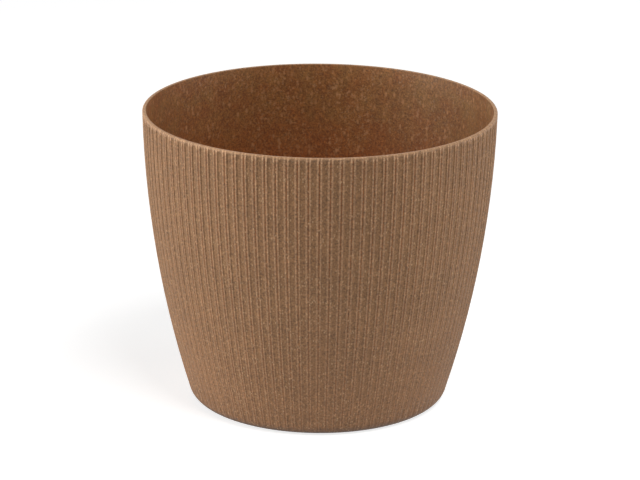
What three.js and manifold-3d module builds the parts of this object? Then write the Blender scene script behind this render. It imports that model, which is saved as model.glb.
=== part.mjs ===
// A round, free-standing plant pot moulded from wood-filled plastic, with fine vertical ribs outside and
// four push-in rubber stoppers that close the drain holes in its floor.
// Millimetres, +Z up. The origin is on the pot's axis, on the surface that the pot stands on.

import * as THREE from "three";
import { mergeVertices } from "three/addons/utils/BufferGeometryUtils.js";
import Module from "manifold-3d";

const wasm = await Module();
wasm.setup();

// Pot: side profile. The wall is one arc that leans in a little at the rim and more towards the base.
const RIM_DIAMETER = 190;
const HEIGHT = 161;
const WALL = 2;
const WALL_ARC_RADIUS = 567;
const RIM_LEAN_DEGREES = 1.1;
const CORNER_RADIUS = 8.2;
const INNER_CORNER_RADIUS = 6;

// Pot: base. The floor panel stands clear of the ground inside a foot ring.
const FLOOR_THICKNESS = 2.4;
const FOOT_HEIGHT = 1.5;
const FOOT_WIDTH = 4.5;
const CHANNEL_COUNT = 4;
const CHANNEL_WIDTH = 8;
const CHANNEL_DEPTH = 0.8;

// Pot: lip. A plain band above the ribs, rounded at both edges down to a narrow flat.
const LIP_HEIGHT = 2.2;
const LIP_FLAT = 0.4;

// Ribs. Each one is a pair of beads with a narrow groove between them, beside a wide flat valley.
const RIB_COUNT = 104;
const RIB_DEPTH_AT_RIM = 0.55;
const RIB_DEPTH_AT_BASE = 0.2;
const GROOVE_SHARE = 0.75;
const BEAD_PHASE = 0.165;
const VALLEY_PHASE = 0.31;
const RIB_RUN_OUT = 1.2;

// Drain holes and their stoppers.
const DRAIN_COUNT = 4;
const DRAIN_DIAMETER = 12;
const DRAIN_EDGE_DISTANCE = 24;
const STOPPER_CLEARANCE = 0.3;
const STOPPER_TAPER = 0.5;
const STOPPER_GROUND_GAP = 0.6;
const STOPPER_FLANGE_WIDTH = 4;
const STOPPER_FLANGE_THICKNESS = 1.8;
const STOPPER_EDGE_ROUND = 0.6;
const TAB_LENGTH = 11;
const TAB_THICKNESS = 2.8;
const TAB_HEIGHT = 6;
const TAB_ROUND = 2.4;

// How finely round forms are divided.
const WALL_STEPS = 5;
const CORNER_STEPS = 3;
const ROUND_SEGMENTS = 72;
const HOLE_SEGMENTS = 24;
const EDGE_STEPS = 2;

// A tool that cuts through a face passes it by this much, and points closer than this are one point.
const OVERCUT = 1;
const SAME_POINT = 1e-4;

const floorTop = FOOT_HEIGHT + FLOOR_THICKNESS;
const rimRadius = RIM_DIAMETER / 2;
const rimLean = THREE.MathUtils.degToRad(RIM_LEAN_DEGREES);
const wallCentre = new THREE.Vector2(
  rimRadius - WALL_ARC_RADIUS * Math.cos(rimLean),
  HEIGHT + WALL_ARC_RADIUS * Math.sin(rimLean),
);

// A point of a circle in the (radius, height) plane.
function onCircle(centre, radius, angle) {
  return new THREE.Vector2(centre.x + radius * Math.cos(angle), centre.y + radius * Math.sin(angle));
}

// Evenly spaced points of an arc in the (radius, height) plane, both ends included.
function arc(centre, radius, from, to, steps) {
  return Array.from({ length: steps + 1 }, (_, i) =>
    onCircle(centre, radius, THREE.MathUtils.lerp(from, to, i / steps)),
  );
}

// Radius of the wall's surface at a height, for a surface set inwards from the outside by inset.
function wallRadius(height, inset) {
  const rise = height - wallCentre.y;
  return wallCentre.x + Math.sqrt((WALL_ARC_RADIUS - inset) ** 2 - rise ** 2);
}

// The round corner between that wall surface and a level plane: its centre, and where it leaves the wall.
function corner(inset, plane, radius) {
  const height = plane + radius;
  const centre = new THREE.Vector2(wallRadius(height, inset + radius), height);
  const angle = Math.atan2(centre.y - wallCentre.y, centre.x - wallCentre.x);
  return { centre, radius, angle };
}

const outerCorner = corner(0, 0, CORNER_RADIUS);
const innerCorner = corner(WALL, floorTop, INNER_CORNER_RADIUS);
const footRadius = outerCorner.centre.x;
const drainCircleRadius = innerCorner.centre.x - DRAIN_EDGE_DISTANCE;
const lipRound = (WALL - LIP_FLAT) / 2;

// The ribs run from just above the base's corner to just below the lip.
const ribFoot = onCircle(outerCorner.centre, CORNER_RADIUS, outerCorner.angle).y;
const ribTop = HEIGHT - LIP_HEIGHT;

// A closed solid from a three.js geometry.
function solid(geometry) {
  geometry.deleteAttribute("normal");
  geometry.deleteAttribute("uv");
  const merged = mergeVertices(geometry, SAME_POINT);
  const corners = merged.index.array;
  const kept = [];
  for (let i = 0; i < corners.length; i += 3) {
    const [a, b, c] = corners.slice(i, i + 3);
    if (a !== b && b !== c && c !== a) kept.push(a, b, c);
  }
  return new wasm.Manifold(
    new wasm.Mesh({
      numProp: 3,
      vertProperties: new Float32Array(merged.attributes.position.array),
      triVerts: new Uint32Array(kept),
    }),
  );
}

// The three.js geometry of a solid.
function geometryOf(made) {
  const mesh = made.getMesh();
  const geometry = new THREE.BufferGeometry();
  geometry.setAttribute("position", new THREE.BufferAttribute(new Float32Array(mesh.vertProperties), 3));
  geometry.setIndex(new THREE.BufferAttribute(new Uint32Array(mesh.triVerts), 1));
  return geometry;
}

// A solid of revolution about Z from (radius, height) points that run up the outside.
function turned(points, segments) {
  return solid(new THREE.LatheGeometry(points, segments).rotateX(Math.PI / 2));
}

// The places of count copies, evenly spaced round the axis at a radius, turned by a share of one step.
function spaced(count, radius, share) {
  return Array.from({ length: count }, (_, i) => {
    const angle = ((i + share) * 2 * Math.PI) / count;
    return { angle, x: radius * Math.cos(angle), y: radius * Math.sin(angle) };
  });
}

// A level ring of points, one for each phase of each rib: the wall's radius less the rib's depth there.
function ribRing(radius, height, phases) {
  const ring = [];
  for (let rib = 0; rib < RIB_COUNT; rib += 1) {
    for (const { phase, depth } of phases) {
      const angle = ((rib + phase) * 2 * Math.PI) / RIB_COUNT;
      const r = radius - depth;
      ring.push(new THREE.Vector3(r * Math.cos(angle), r * Math.sin(angle), height));
    }
  }
  return ring;
}

// A plain ring has one point for each rib.
function plainRing({ x: radius, y: height }) {
  return ribRing(radius, height, [{ phase: 0, depth: 0 }]);
}

// A ribbed ring: groove, bead crest, the two edges of the valley, and the next bead's crest.
function ribbedRing(height) {
  const share = (height - ribFoot) / (ribTop - ribFoot);
  const depth = THREE.MathUtils.lerp(RIB_DEPTH_AT_BASE, RIB_DEPTH_AT_RIM, share);
  return ribRing(wallRadius(height, 0), height, [
    { phase: 0, depth: GROOVE_SHARE * depth },
    { phase: BEAD_PHASE, depth: 0 },
    { phase: VALLEY_PHASE, depth },
    { phase: 1 - VALLEY_PHASE, depth },
    { phase: 1 - BEAD_PHASE, depth: 0 },
  ]);
}

// Triangles between two rings, of which one may have several points for each point of the other.
function band(lower, upper) {
  const steps = Math.max(lower.length, upper.length);
  const at = (ring, i) => ring[Math.round((i * ring.length) / steps) % ring.length];
  const triangles = [];
  for (let i = 0; i < steps; i += 1) {
    const [a, b] = [at(lower, i), at(lower, i + 1)];
    const [c, d] = [at(upper, i + 1), at(upper, i)];
    if (a !== b) triangles.push(a, b, c);
    if (c !== d) triangles.push(a, c, d);
  }
  return triangles;
}

// Triangles from a ring to the point on the axis at its height.
function cap(ring, facesUp) {
  const centre = new THREE.Vector3(0, 0, ring[0].z);
  return ring.flatMap((point, i) => {
    const next = ring[(i + 1) % ring.length];
    return facesUp ? [centre, point, next] : [centre, next, point];
  });
}

// The pot's outside as a full body: rounded base corner, ribbed wall and plain lip.
function ribbedBody() {
  const lipShoulder = HEIGHT - lipRound;
  const lipEdge = new THREE.Vector2(wallRadius(lipShoulder, lipRound), lipShoulder);
  const cornerPoints = arc(outerCorner.centre, CORNER_RADIUS, -Math.PI / 2, outerCorner.angle, CORNER_STEPS);
  const ribHeights = Array.from({ length: WALL_STEPS + 1 }, (_, i) =>
    THREE.MathUtils.lerp(ribFoot + RIB_RUN_OUT, ribTop - RIB_RUN_OUT, i / WALL_STEPS),
  );
  const rings = [
    ...cornerPoints.map(plainRing),
    ...ribHeights.map(ribbedRing),
    plainRing(new THREE.Vector2(wallRadius(ribTop, 0), ribTop)),
    ...arc(lipEdge, lipRound, 0, Math.PI / 2, EDGE_STEPS).map(plainRing),
  ];
  const triangles = [
    ...cap(rings[0], false),
    ...rings.slice(1).flatMap((ring, i) => band(rings[i], ring)),
    ...cap(rings.at(-1), true),
  ];
  return solid(new THREE.BufferGeometry().setFromPoints(triangles));
}

// The space inside the pot, from the floor up through the mouth.
function cavity() {
  const lipShoulder = HEIGHT - lipRound;
  const lipEdge = new THREE.Vector2(wallRadius(lipShoulder, WALL - lipRound), lipShoulder);
  const wallFoot = onCircle(innerCorner.centre, innerCorner.radius, innerCorner.angle);
  const wallPoints = Array.from({ length: WALL_STEPS }, (_, i) => {
    const height = THREE.MathUtils.lerp(wallFoot.y, lipShoulder, (i + 1) / (WALL_STEPS + 1));
    return new THREE.Vector2(wallRadius(height, WALL), height);
  });
  const mouth = arc(lipEdge, lipRound, Math.PI, Math.PI / 2, EDGE_STEPS);
  return turned(
    [
      new THREE.Vector2(0, floorTop),
      ...arc(innerCorner.centre, innerCorner.radius, -Math.PI / 2, innerCorner.angle, CORNER_STEPS),
      ...wallPoints,
      ...mouth,
      new THREE.Vector2(mouth.at(-1).x, HEIGHT + OVERCUT),
      new THREE.Vector2(0, HEIGHT + OVERCUT),
    ],
    ROUND_SEGMENTS,
  );
}

// The recess inside the foot ring.
function footRecess() {
  const radius = footRadius - FOOT_WIDTH;
  return turned(
    [
      new THREE.Vector2(0, -OVERCUT),
      new THREE.Vector2(radius, -OVERCUT),
      new THREE.Vector2(radius, FOOT_HEIGHT),
      new THREE.Vector2(0, FOOT_HEIGHT),
    ],
    ROUND_SEGMENTS,
  );
}

// Shallow channels that let drained water out under the foot ring.
function footChannels() {
  const length = FOOT_WIDTH + CORNER_RADIUS + 2 * OVERCUT;
  const middle = footRadius - FOOT_WIDTH - OVERCUT + length / 2;
  return spaced(CHANNEL_COUNT, middle, 0.5).map(({ angle, x, y }) => {
    const tool = new THREE.BoxGeometry(length, CHANNEL_WIDTH, CHANNEL_DEPTH + OVERCUT);
    tool.rotateZ(angle).translate(x, y, (CHANNEL_DEPTH - OVERCUT) / 2);
    return solid(tool);
  });
}

function drainHoles() {
  const depth = FLOOR_THICKNESS + 2 * OVERCUT;
  return spaced(DRAIN_COUNT, drainCircleRadius, 0).map(({ x, y }) => {
    const tool = new THREE.CylinderGeometry(DRAIN_DIAMETER / 2, DRAIN_DIAMETER / 2, depth, HOLE_SEGMENTS);
    tool.rotateX(Math.PI / 2).translate(x, y, FOOT_HEIGHT + FLOOR_THICKNESS / 2);
    return solid(tool);
  });
}

function potBody() {
  const cuts = [cavity(), footRecess(), ...footChannels(), ...drainHoles()];
  return geometryOf(cuts.reduce((body, cut) => body.subtract(cut), ribbedBody()));
}

// A stopper about its own axis, with the flange's underside at height 0.
function stopper() {
  const stemLength = floorTop - STOPPER_GROUND_GAP;
  const stemRadius = DRAIN_DIAMETER / 2 - STOPPER_CLEARANCE;
  const flangeRadius = DRAIN_DIAMETER / 2 + STOPPER_FLANGE_WIDTH;
  const edge = new THREE.Vector2(
    flangeRadius - STOPPER_EDGE_ROUND,
    STOPPER_FLANGE_THICKNESS - STOPPER_EDGE_ROUND,
  );
  const disc = turned(
    [
      new THREE.Vector2(0, -stemLength),
      new THREE.Vector2(stemRadius - STOPPER_TAPER, -stemLength),
      new THREE.Vector2(stemRadius, 0),
      new THREE.Vector2(flangeRadius, 0),
      ...arc(edge, STOPPER_EDGE_ROUND, 0, Math.PI / 2, EDGE_STEPS),
      new THREE.Vector2(0, STOPPER_FLANGE_THICKNESS),
    ],
    HOLE_SEGMENTS,
  );
  return geometryOf(disc.add(pullTab()));
}

// The upright tab that a stopper is pulled by, rooted in its flange.
function pullTab() {
  const half = TAB_LENGTH / 2;
  const top = STOPPER_FLANGE_THICKNESS + TAB_HEIGHT;
  const outline = new THREE.Shape();
  outline.moveTo(-half, STOPPER_FLANGE_THICKNESS / 2);
  outline.lineTo(half, STOPPER_FLANGE_THICKNESS / 2);
  outline.absarc(half - TAB_ROUND, top - TAB_ROUND, TAB_ROUND, 0, Math.PI / 2);
  outline.absarc(TAB_ROUND - half, top - TAB_ROUND, TAB_ROUND, Math.PI / 2, Math.PI);
  outline.closePath();
  const tab = new THREE.ExtrudeGeometry(outline, {
    depth: TAB_THICKNESS,
    bevelEnabled: false,
    curveSegments: 2 * EDGE_STEPS,
  });
  return solid(tab.translate(0, 0, -TAB_THICKNESS / 2).rotateX(Math.PI / 2));
}

const woodPlastic = new THREE.MeshStandardMaterial({ color: 0x8a684d, roughness: 0.75, metalness: 0 });
const stopperRubber = new THREE.MeshStandardMaterial({ color: 0x2d2825, roughness: 0.85, metalness: 0 });

const pot = new THREE.Group();
pot.name = "plant_pot";

const body = new THREE.Mesh(potBody(), woodPlastic);
body.name = "pot_body";
pot.add(body);

const stopperShape = stopper();
spaced(DRAIN_COUNT, drainCircleRadius, 0).forEach(({ angle, x, y }, i) => {
  const mesh = new THREE.Mesh(stopperShape, stopperRubber);
  mesh.name = `drain_stopper_${i + 1}`;
  mesh.position.set(x, y, floorTop);
  mesh.rotation.z = angle;
  pot.add(mesh);
});

export default pot;
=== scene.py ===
import math
from collections import namedtuple

import bpy
import numpy as np
from mathutils import Matrix, Vector


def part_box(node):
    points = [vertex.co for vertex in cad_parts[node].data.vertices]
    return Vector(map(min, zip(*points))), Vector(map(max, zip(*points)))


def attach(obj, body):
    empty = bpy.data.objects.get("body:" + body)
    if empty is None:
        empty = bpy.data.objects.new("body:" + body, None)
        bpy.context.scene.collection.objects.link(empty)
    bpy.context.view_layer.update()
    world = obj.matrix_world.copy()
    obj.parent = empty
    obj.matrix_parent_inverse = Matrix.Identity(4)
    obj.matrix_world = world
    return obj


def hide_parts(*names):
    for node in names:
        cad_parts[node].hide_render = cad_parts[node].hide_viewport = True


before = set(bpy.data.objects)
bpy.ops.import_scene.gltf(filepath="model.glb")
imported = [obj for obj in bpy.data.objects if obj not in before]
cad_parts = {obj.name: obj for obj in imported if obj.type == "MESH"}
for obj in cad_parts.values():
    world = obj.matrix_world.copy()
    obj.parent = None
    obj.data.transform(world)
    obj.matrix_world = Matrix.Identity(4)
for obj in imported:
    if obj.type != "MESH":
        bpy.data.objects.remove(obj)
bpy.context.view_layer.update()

MM = 0.001
pot_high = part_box("pot_body")[1]
stopper_nodes = sorted(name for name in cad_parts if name.startswith("drain_stopper"))

# Pot: side profile as in the solids, with finer rounds on the lip and the foot
HEIGHT = pot_high.z
RIM_RADIUS = pot_high.x
WALL = 2 * MM
WALL_ARC_RADIUS = 567 * MM
RIM_LEAN = math.radians(1.1)
ARC_CENTRE_R = RIM_RADIUS - WALL_ARC_RADIUS * math.cos(RIM_LEAN)
ARC_CENTRE_Z = HEIGHT + WALL_ARC_RADIUS * math.sin(RIM_LEAN)
CORNER_RADIUS = 8.2 * MM
INNER_CORNER_RADIUS = 6 * MM
LIP_OUTER_ROUND = 0.8 * MM
LIP_INNER_ROUND = 0.3 * MM
FOOT_HEIGHT = 1.5 * MM
FOOT_WIDTH = 4.5 * MM
FOOT_EDGE_ROUND = 0.4 * MM
FLOOR_THICKNESS = 2.4 * MM
FLOOR_TOP = FOOT_HEIGHT + FLOOR_THICKNESS

# Underside: channels across the foot ring, and the dish with a nub that a moulding gate leaves
CHANNEL_COUNT = 4
CHANNEL_WIDTH = 8 * MM
CHANNEL_ROOF_WIDTH = 0.8 * CHANNEL_WIDTH
CHANNEL_DEPTH = 0.8 * MM
GATE_DISH_RADIUS = 6 * MM
GATE_DISH_TOP_RADIUS = 0.9 * GATE_DISH_RADIUS
GATE_DISH_DEPTH = 0.5 * MM
GATE_NUB_RADIUS = 1.4 * MM
GATE_NUB_TIP_RADIUS = 0.8 * GATE_NUB_RADIUS
GATE_NUB_TIP_DEPTH = 0.2 * GATE_DISH_DEPTH
GATE_NUB_EDGE_DEPTH = 0.35 * GATE_DISH_DEPTH

# Ribs: each one is two half-round beads with a narrow groove between them, beside a wide flat valley.
# A phase is a place across one rib, as a share of the step to the next one, with its groove at 0.
RIB_COUNT = 104
RIB_DEPTH_AT_RIM = 0.58 * MM
RIB_DEPTH_AT_BASE = 0.16 * MM
RIB_FOOT_FADE = 6 * MM
RIB_TOP_FADE = 2 * MM
RIB_TOP_GAP = 0.7 * MM
BEAD_PHASE = 0.16
BEAD_REACH = 0.13
BEAD_ARC = math.radians(75)
# How far the painted shade in each groove reaches, as a phase
GROOVE_SHADE_REACH = 0.085
GROOVE_SHARE = 0.5
VALLEY_PHASE = 0.5

# Shades of the outside, as shares of its pale colour (pale wear and painted highlight on the beads and the
# lip), its groove colour (painted shade) and its darkest colour (painted shade towards the floor)
RIB_TONE_AT_BASE = 0.5
# Pale wear and painted highlight on the bead crests
BEAD_PALENESS = 0.35
BEAD_SHARPNESS = 3
# Painted highlight: the bead ends below the lip are paler, as if lit from above
BEAD_END_HIGHLIGHT = 0.88
BEAD_END_REACH = 3.5 * MM
# Painted highlight along the top of the lip
LIP_HIGHLIGHT = 0.38
LIP_PALE_REACH = 1.6 * MM
LIP_PALE_GAP = LIP_OUTER_ROUND / 3
# Painted shade: the outside darkens over this height above the floor, as if shaded where the base turns
# under
PAINTED_BASE_SHADE_HEIGHT = 8 * MM

# Drain holes and stoppers: sizes as in the solids, with chamfered holes and rounded tabs
DRAIN_RADIUS = 6 * MM
DRAIN_CHAMFER = 0.3 * MM
STOPPER_CLEARANCE = 0.3 * MM
STOPPER_TAPER = 0.5 * MM
STOPPER_FLANGE_THICKNESS = 1.8 * MM
STOPPER_EDGE_ROUND = 0.6 * MM
TAB_LENGTH = 11 * MM
TAB_THICKNESS = 2.8 * MM
TAB_ROUND = 2.4 * MM
TAB_EDGE_ROUND = 0.5 * MM

# Fineness of the meshes, and how far a cutting tool reaches past what it cuts
BEAD_STEPS = 8
WALL_RINGS = 14
RIB_TOP_RINGS = 6
LIP_OUTER_STEPS = 10
LIP_INNER_STEPS = 4
CORNER_STEPS = 10
INNER_CORNER_STEPS = 8
FOOT_EDGE_STEPS = 3
PLAIN_SEGMENTS = 2 * RIB_COUNT
DRAIN_SEGMENTS = 64
STOPPER_SEGMENTS = 72
STOPPER_EDGE_STEPS = 5
TAB_ROUND_STEPS = 8
TAB_EDGE_STEPS = 3
TAB_EDGE_ANGLE = math.radians(50)
CRISP_ANGLE = math.radians(40)
OVERCUT = 1 * MM

# Material slots of the pot
OUTSIDE = 0
INSIDE = 1

# Ranges of values that a noise pattern mostly takes, of which the narrow one gives harder edges
WIDE_NOISE = (0.3, 0.7)
NARROW_NOISE = (0.35, 0.65)

# Wood-filled plastic: cells to a metre of each kind of mark, and what they do to the surface.
# Heights shrink to draw a mark out upright.
MOTTLE_CELLS = 560
MOTTLE_IN_GREEN = 1.2
MOTTLE_IN_BLUE = 1.5
GRAIN_CELLS = 1000
BLOTCH_CELLS = 45
BLOTCH_STRENGTH = 0.05
STREAK_CELLS = 260
STREAK_SHRINK = 0.06
DOT_SHRINK = 0.6
DOT_CORE = 0.15
DOT_EDGE = 0.45
DOT_STRENGTH_SPREAD = 0.4
PLASTIC_ROUGHNESS = (0.5, 0.68)
PLASTIC_RELIEF = 0.08 * MM
PLASTIC_RELIEF_STRENGTH = 0.5

# Inside of the pot: its patches, its chips in clusters, and the places between which its tint changes,
# which is painted shade, redder low down and on the -X side, and a painted sheen, greyer on the +X side
PATCH_CELLS = 90
CHIP_CELLS = 600
CHIP_NOISE = (0.52, 0.68)
CHIP_STRENGTH = 0.5
CHIP_SHARE_IN_DEEP = 0.5
CLUSTER_CELLS = 70
CLUSTER_NOISE = (0.4, 0.6)
CHIP_SHARE_OUT_OF_CLUSTERS = 0.3
DEEPEST_SHADE_HEIGHT = 0.62 * HEIGHT
DEEP_SHADE_END_HEIGHT = 0.85 * HEIGHT
SHADED_SIDE_X = -0.2 * RIM_RADIUS
SHEEN_SIDE_X = 0.9 * RIM_RADIUS

# Rubber
RUBBER_GRAIN_CELLS = 1500
RUBBER_RELIEF = 0.04 * MM
RUBBER_RELIEF_STRENGTH = 0.4
RUBBER_ROUGHNESS = (0.55, 0.8)
RUBBER_GLOSS = 0.35
DUST_CELLS = 180
DUST_NOISE = (0.45, 0.75)

# Camera, fitted to the pot's outline in the photograph, with its lens and sensor in millimetres
CAMERA_ASIDE = 0.0006
CAMERA_TURN = -0.0015
CAMERA_BACK = 1.7503
CAMERA_HEIGHT = 0.6485
CAMERA_PITCH = 0.3103
CAMERA_ROLL = 0.0086
CAMERA_LENS = 191.0
CAMERA_SENSOR = 36

# Stage
FLOOR_REACH = 8
FLOOR_GAP = 0.05 * MM
FLOOR_TONE = 0.5
FLOOR_GLOW = 0.77
BOUNCE_TONE = 0.9
WORLD_FILL = 0.02


# Helpers for shapes

def smooth_step(low, high, value):
    """Rises from 0 to 1, with soft ends, as a value goes from low to high."""
    share = np.clip((value - low) / (high - low), 0, 1)
    return share * share * (3 - 2 * share)


def wall_radius(height, inset=0.0):
    """Radius of the wall's surface at a height, set inwards from the outside by inset."""
    rise = height - ARC_CENTRE_Z
    return ARC_CENTRE_R + math.sqrt((WALL_ARC_RADIUS - inset) ** 2 - rise ** 2)


def arc(centre, radius, start, end, steps):
    """Points of an arc in a plane, such as (radius, height), both ends included."""
    return [
        (centre[0] + radius * math.cos(angle), centre[1] + radius * math.sin(angle))
        for angle in np.linspace(start, end, steps + 1)
    ]


def corner(inset, plane, radius, steps):
    """The round corner from a level plane up to the wall's surface at an inset."""
    centre = (wall_radius(plane + radius, inset + radius), plane + radius)
    angle = math.atan2(centre[1] - ARC_CENTRE_Z, centre[0] - ARC_CENTRE_R)
    return arc(centre, radius, -math.pi / 2, angle, steps)


def wall(low, high, inset, steps):
    """Points up the wall between two heights, ends left out."""
    return [(wall_radius(z, inset), z) for z in np.linspace(low, high, steps + 1)[1:-1]]


def add_object(name, data):
    """A new object in the scene."""
    made = bpy.data.objects.new(name, data)
    bpy.context.scene.collection.objects.link(made)
    return made


def add_mesh(name, points, faces):
    """A new mesh object in the scene."""
    mesh = bpy.data.meshes.new(name)
    mesh.from_pydata(points, [], faces)
    return add_object(name, mesh)


class Shell:
    """Collects rings of points round the axis and the faces between them."""

    def __init__(self):
        self.points = []
        self.faces = []
        self.looks = []
        self.rings = []
        # Shares of the painted highlight with pale wear, the painted groove shade and the painted base
        # shade at each point
        self.shares = {"crest": [], "painted_groove_shade": [], "painted_base_shade": []}

    def ring(self, angles, radii, height, look=0, **shares):
        """Adds a ring, joined to the one before it by faces with that material slot."""
        first = len(self.points)
        radii = np.broadcast_to(radii, angles.shape)
        self.points += [(r * math.cos(a), r * math.sin(a), height) for a, r in zip(angles, radii)]
        for share, values in self.shares.items():
            values.extend(np.broadcast_to(shares.get(share, 0.0), angles.shape))
        made = list(range(first, len(self.points)))
        if self.rings:
            self.join(self.rings[-1], made, look)
        self.rings.append(made)

    def join(self, lower, upper, look):
        """Faces between two rings, of which one may have several points for each point of the other."""
        steps = max(len(lower), len(upper))

        def at(ring, i):
            return ring[round(i * len(ring) / steps) % len(ring)]

        for i in range(steps):
            corners = [at(lower, i), at(lower, i + 1), at(upper, i + 1), at(upper, i)]
            self.add(list(dict.fromkeys(corners)), look)

    def add(self, face, look):
        self.faces.append(face)
        self.looks.append(look)

    def close(self):
        """Caps the first ring and the last one, each with the look of the faces beside it."""
        last_look = self.looks[-1]
        self.add(self.rings[0][::-1], self.looks[0])
        self.add(self.rings[-1], last_look)

    def build(self, name):
        made = add_mesh(name, self.points, self.faces)
        made.data.polygons.foreach_set("material_index", self.looks)
        for share, values in self.shares.items():
            made.data.attributes.new(share, "FLOAT", "POINT").data.foreach_set("value", values)
        return made


def even_angles(count):
    """Angles of points spaced evenly round a circle."""
    return np.arange(count) * 2 * math.pi / count


def turned(name, profile, segments):
    """A closed solid of revolution from (radius, height) points that run up its outside."""
    shell = Shell()
    for radius, height in profile:
        shell.ring(even_angles(segments), radius, height)
    shell.close()
    return shell.build(name)


def slab(name, outline, thickness):
    """A flat plate, centred on Y, with its outline in the XZ plane running from +X towards +Z."""
    count = len(outline)
    points = [(x, y, z) for y in (-thickness / 2, thickness / 2) for x, z in outline]
    front = list(range(count))
    back = list(range(count, 2 * count))
    sides = [[front[i - 1], back[i - 1], back[i], front[i]] for i in range(count)]
    return add_mesh(name, points, [front, back[::-1], *sides])


def apply_modifiers(target):
    """Turns what a piece's modifiers make into its mesh."""
    bpy.context.view_layer.update()
    graph = bpy.context.evaluated_depsgraph_get()
    made = bpy.data.meshes.new_from_object(target.evaluated_get(graph), depsgraph=graph)
    target.modifiers.clear()
    target.data = made


def combine(target, tools, operation):
    """Cuts tools from a piece, or joins them to it, and deletes them."""
    for tool in tools:
        step = target.modifiers.new("combine", "BOOLEAN")
        step.object = tool
        step.operation = operation
        step.solver = "EXACT"
    apply_modifiers(target)
    for tool in tools:
        bpy.data.objects.remove(tool)


def round_edges(target, width, angle, steps):
    """Rounds the edges that are sharper than an angle."""
    step = target.modifiers.new("round_edges", "BEVEL")
    step.width = width
    step.segments = steps
    step.limit_method = "ANGLE"
    step.angle_limit = angle
    apply_modifiers(target)


def smooth(target):
    """Smooth shading, with sharp edges left crisp."""
    target.data.shade_smooth()
    target.data.set_sharp_from_angle(angle=CRISP_ANGLE)


# Helpers for materials

def srgb(red, green, blue):
    """A colour as it looks on screen, from 0 to 255, as the linear colour that a shader takes."""
    def linear(value):
        share = value / 255
        return share / 12.92 if share <= 0.04045 else ((share + 0.055) / 1.055) ** 2.4
    return (linear(red), linear(green), linear(blue), 1.0)


def grey(tone):
    """A linear grey, from 0 for black to 1 for white."""
    return (tone, tone, tone, 1)


class Graph:
    """Adds shader nodes to a tree, one short call for each."""

    # Sockets of the Mix node for two colours
    MIX_SHARE = 0
    MIX_FIRST = 6
    MIX_SECOND = 7
    MIX_RESULT = 2

    def __init__(self, tree):
        self.tree = tree
        self.tree.nodes.clear()

    def node(self, kind, inputs=None, **settings):
        """A new node, with each of its inputs set to a value or linked to another node's output."""
        made = self.tree.nodes.new(kind)
        for key, value in settings.items():
            setattr(made, key, value)
        for key, value in (inputs or {}).items():
            if isinstance(value, bpy.types.NodeSocket):
                self.tree.links.new(value, made.inputs[key])
            else:
                made.inputs[key].default_value = value
        return made

    def place(self):
        """Coordinates in metres, in the part's frame."""
        return self.node("ShaderNodeTexCoord").outputs["Object"]

    def along(self, place, axis):
        return self.node("ShaderNodeSeparateXYZ", {"Vector": place}).outputs[axis]

    def upright(self, place, shrink):
        """Coordinates with heights shrunk, which draws a pattern out upright."""
        return self.node("ShaderNodeMapping", {"Vector": place, "Scale": (1, 1, shrink)}).outputs[0]

    def noise(self, place, cells, detail=2.0, roughness=0.5):
        inputs = {"Vector": place, "Scale": cells, "Detail": detail, "Roughness": roughness}
        return self.node("ShaderNodeTexNoise", inputs).outputs["Fac"]

    def cell_pattern(self, place, cells):
        return self.node("ShaderNodeTexVoronoi", {"Vector": place, "Scale": cells}).outputs

    def remap(self, value, low, high, to_low=0.0, to_high=1.0):
        inputs = {"Value": value, "From Min": low, "From Max": high, "To Min": to_low, "To Max": to_high}
        return self.node("ShaderNodeMapRange", inputs).outputs[0]

    def compute(self, operation, first, second):
        return self.node("ShaderNodeMath", {0: first, 1: second}, operation=operation).outputs[0]

    def mix(self, share, first, second, blend="MIX"):
        inputs = {self.MIX_SHARE: share, self.MIX_FIRST: first, self.MIX_SECOND: second}
        made = self.node("ShaderNodeMix", inputs, data_type="RGBA", blend_type=blend)
        return made.outputs[self.MIX_RESULT]

    def multiply(self, first, second):
        return self.mix(1.0, first, second, "MULTIPLY")

    def attribute(self, name):
        return self.node("ShaderNodeAttribute", attribute_name=name).outputs["Fac"]

    def bump(self, height, distance, strength):
        inputs = {"Height": height, "Distance": distance, "Strength": strength}
        return self.node("ShaderNodeBump", inputs).outputs[0]

    def seen(self):
        """1 for rays from the camera, and for mirrored and refracted ones."""
        path = self.node("ShaderNodeLightPath").outputs
        mirrored = self.compute("MAXIMUM", path["Is Glossy Ray"], path["Is Transmission Ray"])
        return self.compute("MAXIMUM", path["Is Camera Ray"], mirrored)

    def shader(self, kind, inputs=None):
        return self.node(kind, inputs).outputs[0]

    def mix_shaders(self, share, first, second):
        return self.shader("ShaderNodeMixShader", {0: share, 1: first, 2: second})

    def surface(self, shader):
        self.node("ShaderNodeOutputMaterial", {"Surface": shader})

    def principled(self, inputs):
        self.surface(self.shader("ShaderNodeBsdfPrincipled", inputs))


def new_material(name):
    material = bpy.data.materials.new(name)
    material.use_nodes = True
    return material, Graph(material.node_tree)


# Materials

Dots = namedtuple("Dots", "colour cells rarity strength")


def dots(graph, place, kind):
    """Small round dots in cells, as strong as each cell's random value lies above the rarity."""
    cells = graph.cell_pattern(place, kind.cells)
    spots = graph.remap(cells["Distance"], DOT_CORE, DOT_EDGE, 1, 0)
    strongest = kind.rarity + DOT_STRENGTH_SPREAD
    strengths = graph.remap(cells["Color"], kind.rarity, strongest, 0, kind.strength)
    return graph.compute("MULTIPLY", spots, strengths)


def mottle_tint(change):
    """A factor that makes a colour paler by a share, or darker by a negative one, most of all in blue."""
    return (1 + change, 1 + MOTTLE_IN_GREEN * change, 1 + MOTTLE_IN_BLUE * change, 1)


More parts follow.
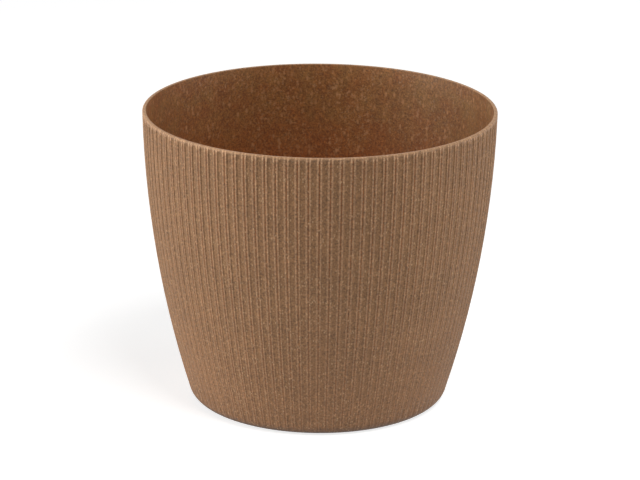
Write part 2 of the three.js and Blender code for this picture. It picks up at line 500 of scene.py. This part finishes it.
def fibre_finish(graph, base, *, flecks, specks, mottle, grain, streaks, gloss):
    """Gives a base colour the look of wood-filled plastic.

    Mottle, grain and streaks are the strengths of those shades, flecks and specks are the pale and the dark
    dots, and gloss is the shader's specular level.
    """
    place = graph.place()
    clouds = graph.noise(place, MOTTLE_CELLS, detail=3, roughness=0.6)
    tint = graph.mix(graph.remap(clouds, *NARROW_NOISE), mottle_tint(-mottle), mottle_tint(mottle))
    fine = graph.remap(graph.noise(place, GRAIN_CELLS, detail=3, roughness=0.7), *WIDE_NOISE)
    blotches = graph.noise(place, BLOTCH_CELLS, detail=3)
    blotches = graph.remap(blotches, *WIDE_NOISE, -BLOTCH_STRENGTH, BLOTCH_STRENGTH)
    bands = graph.noise(graph.upright(place, STREAK_SHRINK), STREAK_CELLS)
    bands = graph.remap(bands, *WIDE_NOISE, -streaks, streaks)
    shade = graph.remap(fine, 0, 1, 1 - grain, 1 + grain)
    shade = graph.compute("ADD", shade, graph.compute("ADD", blotches, bands))
    colour = graph.multiply(graph.multiply(base, tint), shade)
    dot_place = graph.upright(place, DOT_SHRINK)
    pale = dots(graph, dot_place, flecks)
    dark = dots(graph, dot_place, specks)
    colour = graph.mix(pale, colour, flecks.colour)
    colour = graph.mix(dark, colour, specks.colour)
    relief = graph.compute("SUBTRACT", graph.compute("ADD", fine, pale), dark)
    graph.principled({
        "Base Color": colour,
        "Roughness": graph.remap(fine, 0, 1, *PLASTIC_ROUGHNESS),
        "Specular IOR Level": gloss,
        "Normal": graph.bump(relief, PLASTIC_RELIEF, PLASTIC_RELIEF_STRENGTH),
    })


def outside_plastic():
    """The ribbed outside: paler on the beads and the lip with pale wear and painted highlight, redder and
    darker in the grooves with painted shade, and darker towards the base with painted shade near the floor.
    """
    material, graph = new_material("pot_outside")
    upper_valley = srgb(120, 86, 55)
    lower_valley = srgb(124, 87, 55)
    crest = srgb(175, 137, 104)
    groove_shade_red = srgb(98, 50, 5)
    painted_base_shade = srgb(24, 18, 13)
    low = graph.remap(graph.along(graph.place(), "Z"), 0, HEIGHT / 2, 1, 0)
    base = graph.mix(low, upper_valley, lower_valley)
    # Pale wear and painted highlight on the bead crests, and painted highlight on the bead ends and the lip
    base = graph.mix(graph.attribute("crest"), base, crest)
    # Painted shade: dark red in the grooves
    base = graph.mix(graph.attribute("painted_groove_shade"), base, groove_shade_red)
    # Painted shade: dark towards the bottom of the base corner, near the floor
    base = graph.mix(graph.attribute("painted_base_shade"), base, painted_base_shade)
    fibre_finish(
        graph,
        base,
        flecks=Dots(srgb(179, 147, 109), cells=950, rarity=0.45, strength=0.65),
        specks=Dots(srgb(80, 54, 30), cells=900, rarity=0.5, strength=0.4),
        mottle=0.06,
        grain=0.5,
        streaks=0.03,
        gloss=0.3,
    )
    return material


def pale_chips(graph, place, deep_shade):
    """Shares of the pale chips that lie in clusters on the inside, weaker low down where the painted shade
    is deep.
    """
    chips = graph.remap(graph.noise(place, CHIP_CELLS), *CHIP_NOISE, 0, CHIP_STRENGTH)
    clusters = graph.noise(place, CLUSTER_CELLS)
    clusters = graph.remap(clusters, *CLUSTER_NOISE, CHIP_SHARE_OUT_OF_CLUSTERS, 1)
    chips = graph.compute("MULTIPLY", chips, clusters)
    return graph.compute("MULTIPLY", chips, graph.remap(deep_shade, 0, 1, 1, CHIP_SHARE_IN_DEEP))


def inside_plastic():
    """The smooth inside, with patches and pale chips: redder, most of all low down, as painted shade of
    light reddened by bouncing inside the pot, and greyer on the +X side as a painted sheen where lamp light
    falls.
    """
    material, graph = new_material("pot_inside")
    red_brown = srgb(121, 73, 35)
    brown = srgb(123, 83, 43)
    deep_shade_red = srgb(124, 66, 26)
    chip = srgb(161, 121, 87)
    shaded_side_tint = (1.04, 1.0, 0.92, 1)
    sheen_side_tint = (0.87, 0.94, 1.05, 1)
    place = graph.place()
    patches = graph.remap(graph.noise(place, PATCH_CELLS, detail=3, roughness=0.6), *NARROW_NOISE)
    base = graph.mix(patches, red_brown, brown)
    # Painted shade: redder low down, where only light bounced inside the pot reaches
    deep_shade = graph.remap(graph.along(place, "Z"), DEEPEST_SHADE_HEIGHT, DEEP_SHADE_END_HEIGHT, 1, 0)
    base = graph.mix(deep_shade, base, deep_shade_red)
    base = graph.mix(pale_chips(graph, place, deep_shade), base, chip)
    # Painted shade on the -X side, and a painted sheen on the +X side where lamp light falls
    across = graph.remap(graph.along(place, "X"), SHADED_SIDE_X, SHEEN_SIDE_X)
    base = graph.multiply(base, graph.mix(across, shaded_side_tint, sheen_side_tint))
    fibre_finish(
        graph,
        base,
        flecks=Dots(srgb(175, 126, 84), cells=400, rarity=0.4, strength=0.5),
        specks=Dots(srgb(82, 45, 20), cells=900, rarity=0.5, strength=0.5),
        mottle=0.1,
        grain=0.55,
        streaks=0.06,
        gloss=0.38,
    )
    return material


def rubber():
    """Dark matte rubber with a dusty grain."""
    material, graph = new_material("stopper_rubber")
    clean = srgb(42, 37, 34)
    dusty = srgb(62, 55, 50)
    place = graph.place()
    grain = graph.noise(place, RUBBER_GRAIN_CELLS, detail=3, roughness=0.6)
    dust = graph.remap(graph.noise(place, DUST_CELLS, detail=4, roughness=0.6), *DUST_NOISE)
    graph.principled({
        "Base Color": graph.mix(dust, clean, dusty),
        "Roughness": graph.remap(dust, 0, 1, *RUBBER_ROUGHNESS),
        "Specular IOR Level": RUBBER_GLOSS,
        "Normal": graph.bump(grain, RUBBER_RELIEF, RUBBER_RELIEF_STRENGTH),
    })
    return material


# Pot

def outside_profile():
    """Base corner, wall and the outer half of the lip, from the foot ring up."""
    base = corner(0, 0, CORNER_RADIUS, CORNER_STEPS)
    shoulder = HEIGHT - LIP_OUTER_ROUND
    rib_tops = HEIGHT - BEAD_END_REACH
    upper_heights = np.linspace(rib_tops, shoulder, RIB_TOP_RINGS, endpoint=False)
    upper = [(wall_radius(z), z) for z in upper_heights]
    centre = (wall_radius(shoulder, LIP_OUTER_ROUND), shoulder)
    lip = arc(centre, LIP_OUTER_ROUND, 0, math.pi / 2, LIP_OUTER_STEPS)
    return base + wall(base[-1][1], rib_tops, 0, WALL_RINGS) + upper + lip


def inside_profile():
    """The inner half of the lip, the inside wall and the floor's edge, from the top down."""
    shoulder = HEIGHT - LIP_INNER_ROUND
    centre = (wall_radius(shoulder, WALL - LIP_INNER_ROUND), shoulder)
    lip = arc(centre, LIP_INNER_ROUND, math.pi / 2, math.pi, LIP_INNER_STEPS)
    base = corner(WALL, FLOOR_TOP, INNER_CORNER_RADIUS, INNER_CORNER_STEPS)[::-1]
    return lip + wall(shoulder, base[0][1], WALL, WALL_RINGS) + base


def foot_radius():
    """Outer radius of the foot ring, where the base corner starts."""
    return corner(0, 0, CORNER_RADIUS, CORNER_STEPS)[0][0]


def underside_profile():
    """The recess under the floor, from the moulding gate near the axis out to the foot ring."""
    foot_inner = foot_radius() - FOOT_WIDTH
    dish_top = FOOT_HEIGHT + GATE_DISH_DEPTH
    centre = (foot_inner + FOOT_EDGE_ROUND, FOOT_EDGE_ROUND)
    return [
        (GATE_NUB_TIP_RADIUS, FOOT_HEIGHT + GATE_NUB_TIP_DEPTH),
        (GATE_NUB_RADIUS, FOOT_HEIGHT + GATE_NUB_EDGE_DEPTH),
        (GATE_NUB_RADIUS, dish_top),
        (GATE_DISH_TOP_RADIUS, dish_top),
        (GATE_DISH_RADIUS, FOOT_HEIGHT),
        (foot_inner, FOOT_HEIGHT),
        *arc(centre, FOOT_EDGE_ROUND, math.pi, 1.5 * math.pi, FOOT_EDGE_STEPS),
    ]


def rib_phases():
    """Phases of the points of one rib's section: its groove, even turns of its beads, and its valley."""
    turns = np.linspace(-BEAD_ARC, BEAD_ARC, BEAD_STEPS + 1)
    bead = BEAD_PHASE + BEAD_REACH * np.sin(turns) / math.sin(BEAD_ARC)
    return np.concatenate([[0], bead, [VALLEY_PHASE], 1 - bead[::-1]])


def rib_offset(phase):
    """Distance from the nearest groove, as a share of a rib's step."""
    return np.minimum(phase, 1 - phase)


def rib_section(phase):
    """Depth below the bead crests, as a share of the valley's depth, where each bead is a round arc."""
    offset = rib_offset(phase)
    across = np.clip((offset - BEAD_PHASE) / BEAD_REACH, -1, 1)
    low = math.cos(BEAD_ARC)
    depth = (1 - np.sqrt(1 - (across * math.sin(BEAD_ARC)) ** 2)) / (1 - low)
    return np.where(offset < BEAD_PHASE, np.minimum(depth, GROOVE_SHARE), depth)


def rib_groove_shade(phase):
    """How far a place lies in the groove, from 0 to 1, which sets the painted shade there."""
    return 1 - smooth_step(0, GROOVE_SHADE_REACH, rib_offset(phase))


def foot_fade(height):
    """The share of the ribs that is left near their lower ends."""
    return smooth_step(0, RIB_FOOT_FADE, height)


def top_fade(height):
    """The share of the ribs that is left near their upper ends."""
    top = HEIGHT - RIB_TOP_GAP
    return 1 - smooth_step(top - RIB_TOP_FADE, top, height)


def rib_depth(height):
    """The valley's depth at a height: deepest below the lip, shallow low down and run out at both ends."""
    depth = RIB_DEPTH_AT_BASE + (RIB_DEPTH_AT_RIM - RIB_DEPTH_AT_BASE) * height / HEIGHT
    return depth * foot_fade(height) * top_fade(height)


def rib_tone(height):
    """How strongly the ribs' pale wear, painted highlight and painted groove shade show at a height, from 0
    to 1.
    """
    return (RIB_TONE_AT_BASE + (1 - RIB_TONE_AT_BASE) * height / HEIGHT) * foot_fade(height)


def bead_wear_and_highlight(height):
    """How pale the bead crests are, with pale wear and painted highlight: more so in their last stretch
    below the lip, where it is painted highlight.
    """
    half_faded = HEIGHT - RIB_TOP_GAP - RIB_TOP_FADE / 2
    at_end = smooth_step(HEIGHT - BEAD_END_REACH, half_faded, height)
    return BEAD_PALENESS + (BEAD_END_HIGHLIGHT - BEAD_PALENESS) * at_end


def lip_highlight(height):
    """The painted highlight on the outer half of the lip: strongest at its top."""
    return LIP_HIGHLIGHT * smooth_step(HEIGHT - LIP_PALE_REACH, HEIGHT - LIP_PALE_GAP, height)


def outside_shades(height, section, painted_groove_shade):
    """Shares of the painted highlight with pale wear, the painted groove shade and the painted base shade
    round the outside at a height.
    """
    tone = rib_tone(height)
    on_beads = bead_wear_and_highlight(height) * (1 - section) ** BEAD_SHARPNESS * tone
    return {
        "crest": np.maximum(on_beads, lip_highlight(height)),
        "painted_groove_shade": painted_groove_shade * tone * top_fade(height),
        # Painted shade: darker towards the bottom, where the base turns under near the floor
        "painted_base_shade": max(0, 1 - height / PAINTED_BASE_SHADE_HEIGHT) ** 2,
    }


def drain_cutters():
    """Tools for the drain holes, turned by half a segment so that no corner falls on a floor edge."""
    chamfered = DRAIN_RADIUS + DRAIN_CHAMFER + OVERCUT
    profile = [
        (chamfered, FOOT_HEIGHT - OVERCUT),
        (DRAIN_RADIUS, FOOT_HEIGHT + DRAIN_CHAMFER),
        (DRAIN_RADIUS, FLOOR_TOP - DRAIN_CHAMFER),
        (chamfered, FLOOR_TOP + OVERCUT),
    ]
    for node in stopper_nodes:
        low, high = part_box(node)
        tool = turned("drain_cutter", profile, DRAIN_SEGMENTS)
        tool.location = ((low.x + high.x) / 2, (low.y + high.y) / 2, 0)
        tool.rotation_euler.z = math.pi / DRAIN_SEGMENTS
        yield tool


def channel_cutters():
    """Tools for the channels across the foot ring, midway between the drain holes."""
    start = foot_radius() - FOOT_WIDTH - OVERCUT
    end = foot_radius() + CORNER_RADIUS + OVERCUT
    middle = (start + end) / 2
    half = CHANNEL_WIDTH / 2
    half_roof = CHANNEL_ROOF_WIDTH / 2
    outline = [
        (-half, -OVERCUT),
        (half, -OVERCUT),
        (half_roof, CHANNEL_DEPTH),
        (-half_roof, CHANNEL_DEPTH),
    ]
    for i in range(CHANNEL_COUNT):
        tool = slab("channel_cutter", outline, end - start)
        angle = (i + 0.5) * 2 * math.pi / CHANNEL_COUNT
        tool.location = (middle * math.cos(angle), middle * math.sin(angle), 0)
        tool.rotation_euler.z = angle - math.pi / 2
        yield tool


def pot_shell(outside_look, inside_look):
    """The whole moulding: ribbed outside, lip, smooth inside, floor, underside, holes and channels."""
    phases = rib_phases()
    fine = (np.arange(RIB_COUNT)[:, None] + phases[None, :]).ravel() * 2 * math.pi / RIB_COUNT
    section = np.tile(rib_section(phases), RIB_COUNT)
    painted_groove_shade = np.tile(rib_groove_shade(phases), RIB_COUNT)
    plain = even_angles(PLAIN_SEGMENTS)
    shell = Shell()
    for radius, height in underside_profile():
        shell.ring(plain, radius, height, look=OUTSIDE)
    for radius, height in outside_profile():
        ribbed = radius - rib_depth(height) * section
        shell.ring(fine, ribbed, height, look=OUTSIDE, **outside_shades(height, section, painted_groove_shade))
    for radius, height in inside_profile():
        look = INSIDE if height < HEIGHT - LIP_INNER_ROUND else OUTSIDE
        # The painted lip highlight, read only where the lip's top has the outside's look
        shell.ring(plain, radius, height, look=look, crest=LIP_HIGHLIGHT)
    shell.close()
    made = shell.build("pot_shell")
    made.data.materials.append(outside_look)
    made.data.materials.append(inside_look)
    combine(made, [*drain_cutters(), *channel_cutters()], "DIFFERENCE")
    smooth(made)
    return made


# Stoppers

def tab_outline(top):
    """The pull tab from the side, rooted in the flange, with two round upper corners."""
    half = TAB_LENGTH / 2
    root = STOPPER_FLANGE_THICKNESS / 2
    right = arc((half - TAB_ROUND, top - TAB_ROUND), TAB_ROUND, 0, math.pi / 2, TAB_ROUND_STEPS)
    left = arc((TAB_ROUND - half, top - TAB_ROUND), TAB_ROUND, math.pi / 2, math.pi, TAB_ROUND_STEPS)
    return [(-half, root), (half, root)] + right + left


def stopper_profile(flange_radius, stem_low):
    """Tapered stem and flange with a rounded edge, with heights above the floor."""
    stem_radius = DRAIN_RADIUS - STOPPER_CLEARANCE
    edge = (flange_radius - STOPPER_EDGE_ROUND, STOPPER_FLANGE_THICKNESS - STOPPER_EDGE_ROUND)
    return [
        (stem_radius - STOPPER_TAPER - STOPPER_EDGE_ROUND, stem_low),
        (stem_radius - STOPPER_TAPER, stem_low + STOPPER_EDGE_ROUND),
        (stem_radius, 0),
        (flange_radius, 0),
        *arc(edge, STOPPER_EDGE_ROUND, 0, math.pi / 2, STOPPER_EDGE_STEPS),
    ]


def stopper(number, node, look):
    """A push-in plug, whose pull tab lies along a line out from the pot's axis."""
    low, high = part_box(node)
    centre = (low + high) / 2
    profile = stopper_profile((high.x - low.x) / 2, low.z - FLOOR_TOP)
    made = turned(f"stopper_{number}", profile, STOPPER_SEGMENTS)
    tab = slab("tab", tab_outline(high.z - FLOOR_TOP), TAB_THICKNESS)
    round_edges(tab, TAB_EDGE_ROUND, TAB_EDGE_ANGLE, TAB_EDGE_STEPS)
    combine(made, [tab], "UNION")
    turn = Matrix.Rotation(math.atan2(centre.y, centre.x), 4, "Z")
    made.data.transform(Matrix.Translation((centre.x, centre.y, FLOOR_TOP)) @ turn)
    made.data.materials.clear()
    made.data.materials.append(look)
    smooth(made)
    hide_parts(node)
    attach(made, f"stopper_{number}")


# Stage: floor, light and camera

def floor(name, gap, material):
    """A wide level plane, a small gap below the pot."""
    corners = [(x * FLOOR_REACH, y * FLOOR_REACH, -gap) for x, y in ((-1, -1), (1, -1), (1, 1), (-1, 1))]
    made = add_mesh(name, corners, [(0, 1, 2, 3)])
    made.data.materials.append(material)
    return made


def seen_floor():
    """The white floor that keeps the pot's shadow, and can be looked through from below."""
    material, graph = new_material("white_floor")
    pale = graph.shader("ShaderNodeBsdfDiffuse", {"Color": grey(FLOOR_TONE)})
    glow = graph.shader("ShaderNodeEmission", {"Strength": FLOOR_GLOW})
    above = graph.shader("ShaderNodeAddShader", {0: pale, 1: glow})
    below = graph.shader("ShaderNodeBsdfTransparent")
    back = graph.node("ShaderNodeNewGeometry").outputs["Backfacing"]
    graph.surface(graph.mix_shaders(back, above, below))
    made = floor("seen_floor", FLOOR_GAP, material)
    made.visible_diffuse = False
    made.visible_shadow = False
    return made


def bounce_floor():
    """An unseen white floor that throws the lamps' light back up at the pot."""
    material, graph = new_material("bounce_floor")
    graph.surface(graph.shader("ShaderNodeBsdfDiffuse", {"Color": grey(BOUNCE_TONE)}))
    made = floor("bounce_floor", 2 * FLOOR_GAP, material)
    made.visible_camera = False
    made.visible_glossy = False
    made.visible_transmission = False


def world_light():
    """A white background that lights the pot only faintly."""
    world = bpy.data.worlds.new("studio")
    world.use_nodes = True
    bpy.context.scene.world = world
    graph = Graph(world.node_tree)
    fill = graph.shader("ShaderNodeBackground", {"Color": grey(1), "Strength": WORLD_FILL})
    white = graph.shader("ShaderNodeBackground", {"Color": grey(1), "Strength": 1.0})
    both = graph.mix_shaders(graph.seen(), fill, white)
    graph.node("ShaderNodeOutputWorld", {"Surface": both})


def softbox(name, *, place, width, height, power):
    """An oblong lamp that faces the middle of the pot, with its power in watts."""
    light = bpy.data.lights.new(name, "AREA")
    light.shape = "RECTANGLE"
    light.size = width
    light.size_y = height
    light.energy = power
    made = add_object(name, light)
    target = Vector((0, 0, HEIGHT / 2))
    made.location = place
    made.rotation_euler = (target - Vector(place)).to_track_quat("-Z", "Y").to_euler()
    return made


def spare(lamp, thing):
    """Keeps a lamp's light off one thing."""
    spared = bpy.data.collections.new("spared")
    spared.objects.link(thing)
    spared.collection_objects[0].light_linking.link_state = "EXCLUDE"
    lamp.light_linking.receiver_collection = spared


def add_camera():
    """The photograph's camera, which looks along +Y and down."""
    forward = Vector((0, math.cos(CAMERA_PITCH), -math.sin(CAMERA_PITCH)))
    right = Vector((1, 0, 0))
    up = right.cross(forward)
    rolled_right = right * math.cos(CAMERA_ROLL) + up * math.sin(CAMERA_ROLL)
    rolled_up = up * math.cos(CAMERA_ROLL) - right * math.sin(CAMERA_ROLL)
    turn = Matrix((rolled_right, rolled_up, -forward)).transposed().to_4x4()
    data = bpy.data.cameras.new("camera")
    data.lens = CAMERA_LENS
    data.sensor_width = CAMERA_SENSOR
    made = add_object("camera", data)
    place = Matrix.Translation((CAMERA_ASIDE, -CAMERA_BACK, CAMERA_HEIGHT))
    made.matrix_world = Matrix.Rotation(CAMERA_TURN, 4, "Z") @ place @ turn
    bpy.context.scene.camera = made


pot = pot_shell(outside_plastic(), inside_plastic())
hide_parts("pot_body")
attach(pot, "pot")

stopper_look = rubber()
for number, node in enumerate(stopper_nodes, start=1):
    stopper(number, node, stopper_look)

white_floor = seen_floor()
bounce_floor()
world_light()
softbox("left_softbox", place=(-1.9, -0.2, 0.45), width=1.0, height=0.8, power=21)
high_lamp = softbox("high_left_softbox", place=(-1.5, -0.3, 1.2), width=1.0, height=0.9, power=23.5)
spare(high_lamp, white_floor)
softbox("right_softbox", place=(1.9, 0.0, 0.45), width=1.0, height=0.9, power=14.5)
softbox("top_softbox", place=(0.45, -0.85, 1.7), width=0.8, height=0.8, power=24)
back_lamp = softbox("back_softbox", place=(0.3, 2.0, 0.6), width=1.0, height=0.9, power=3)
back_lamp.visible_glossy = False
add_camera()
bpy.context.scene.view_settings.view_transform = "Standard"
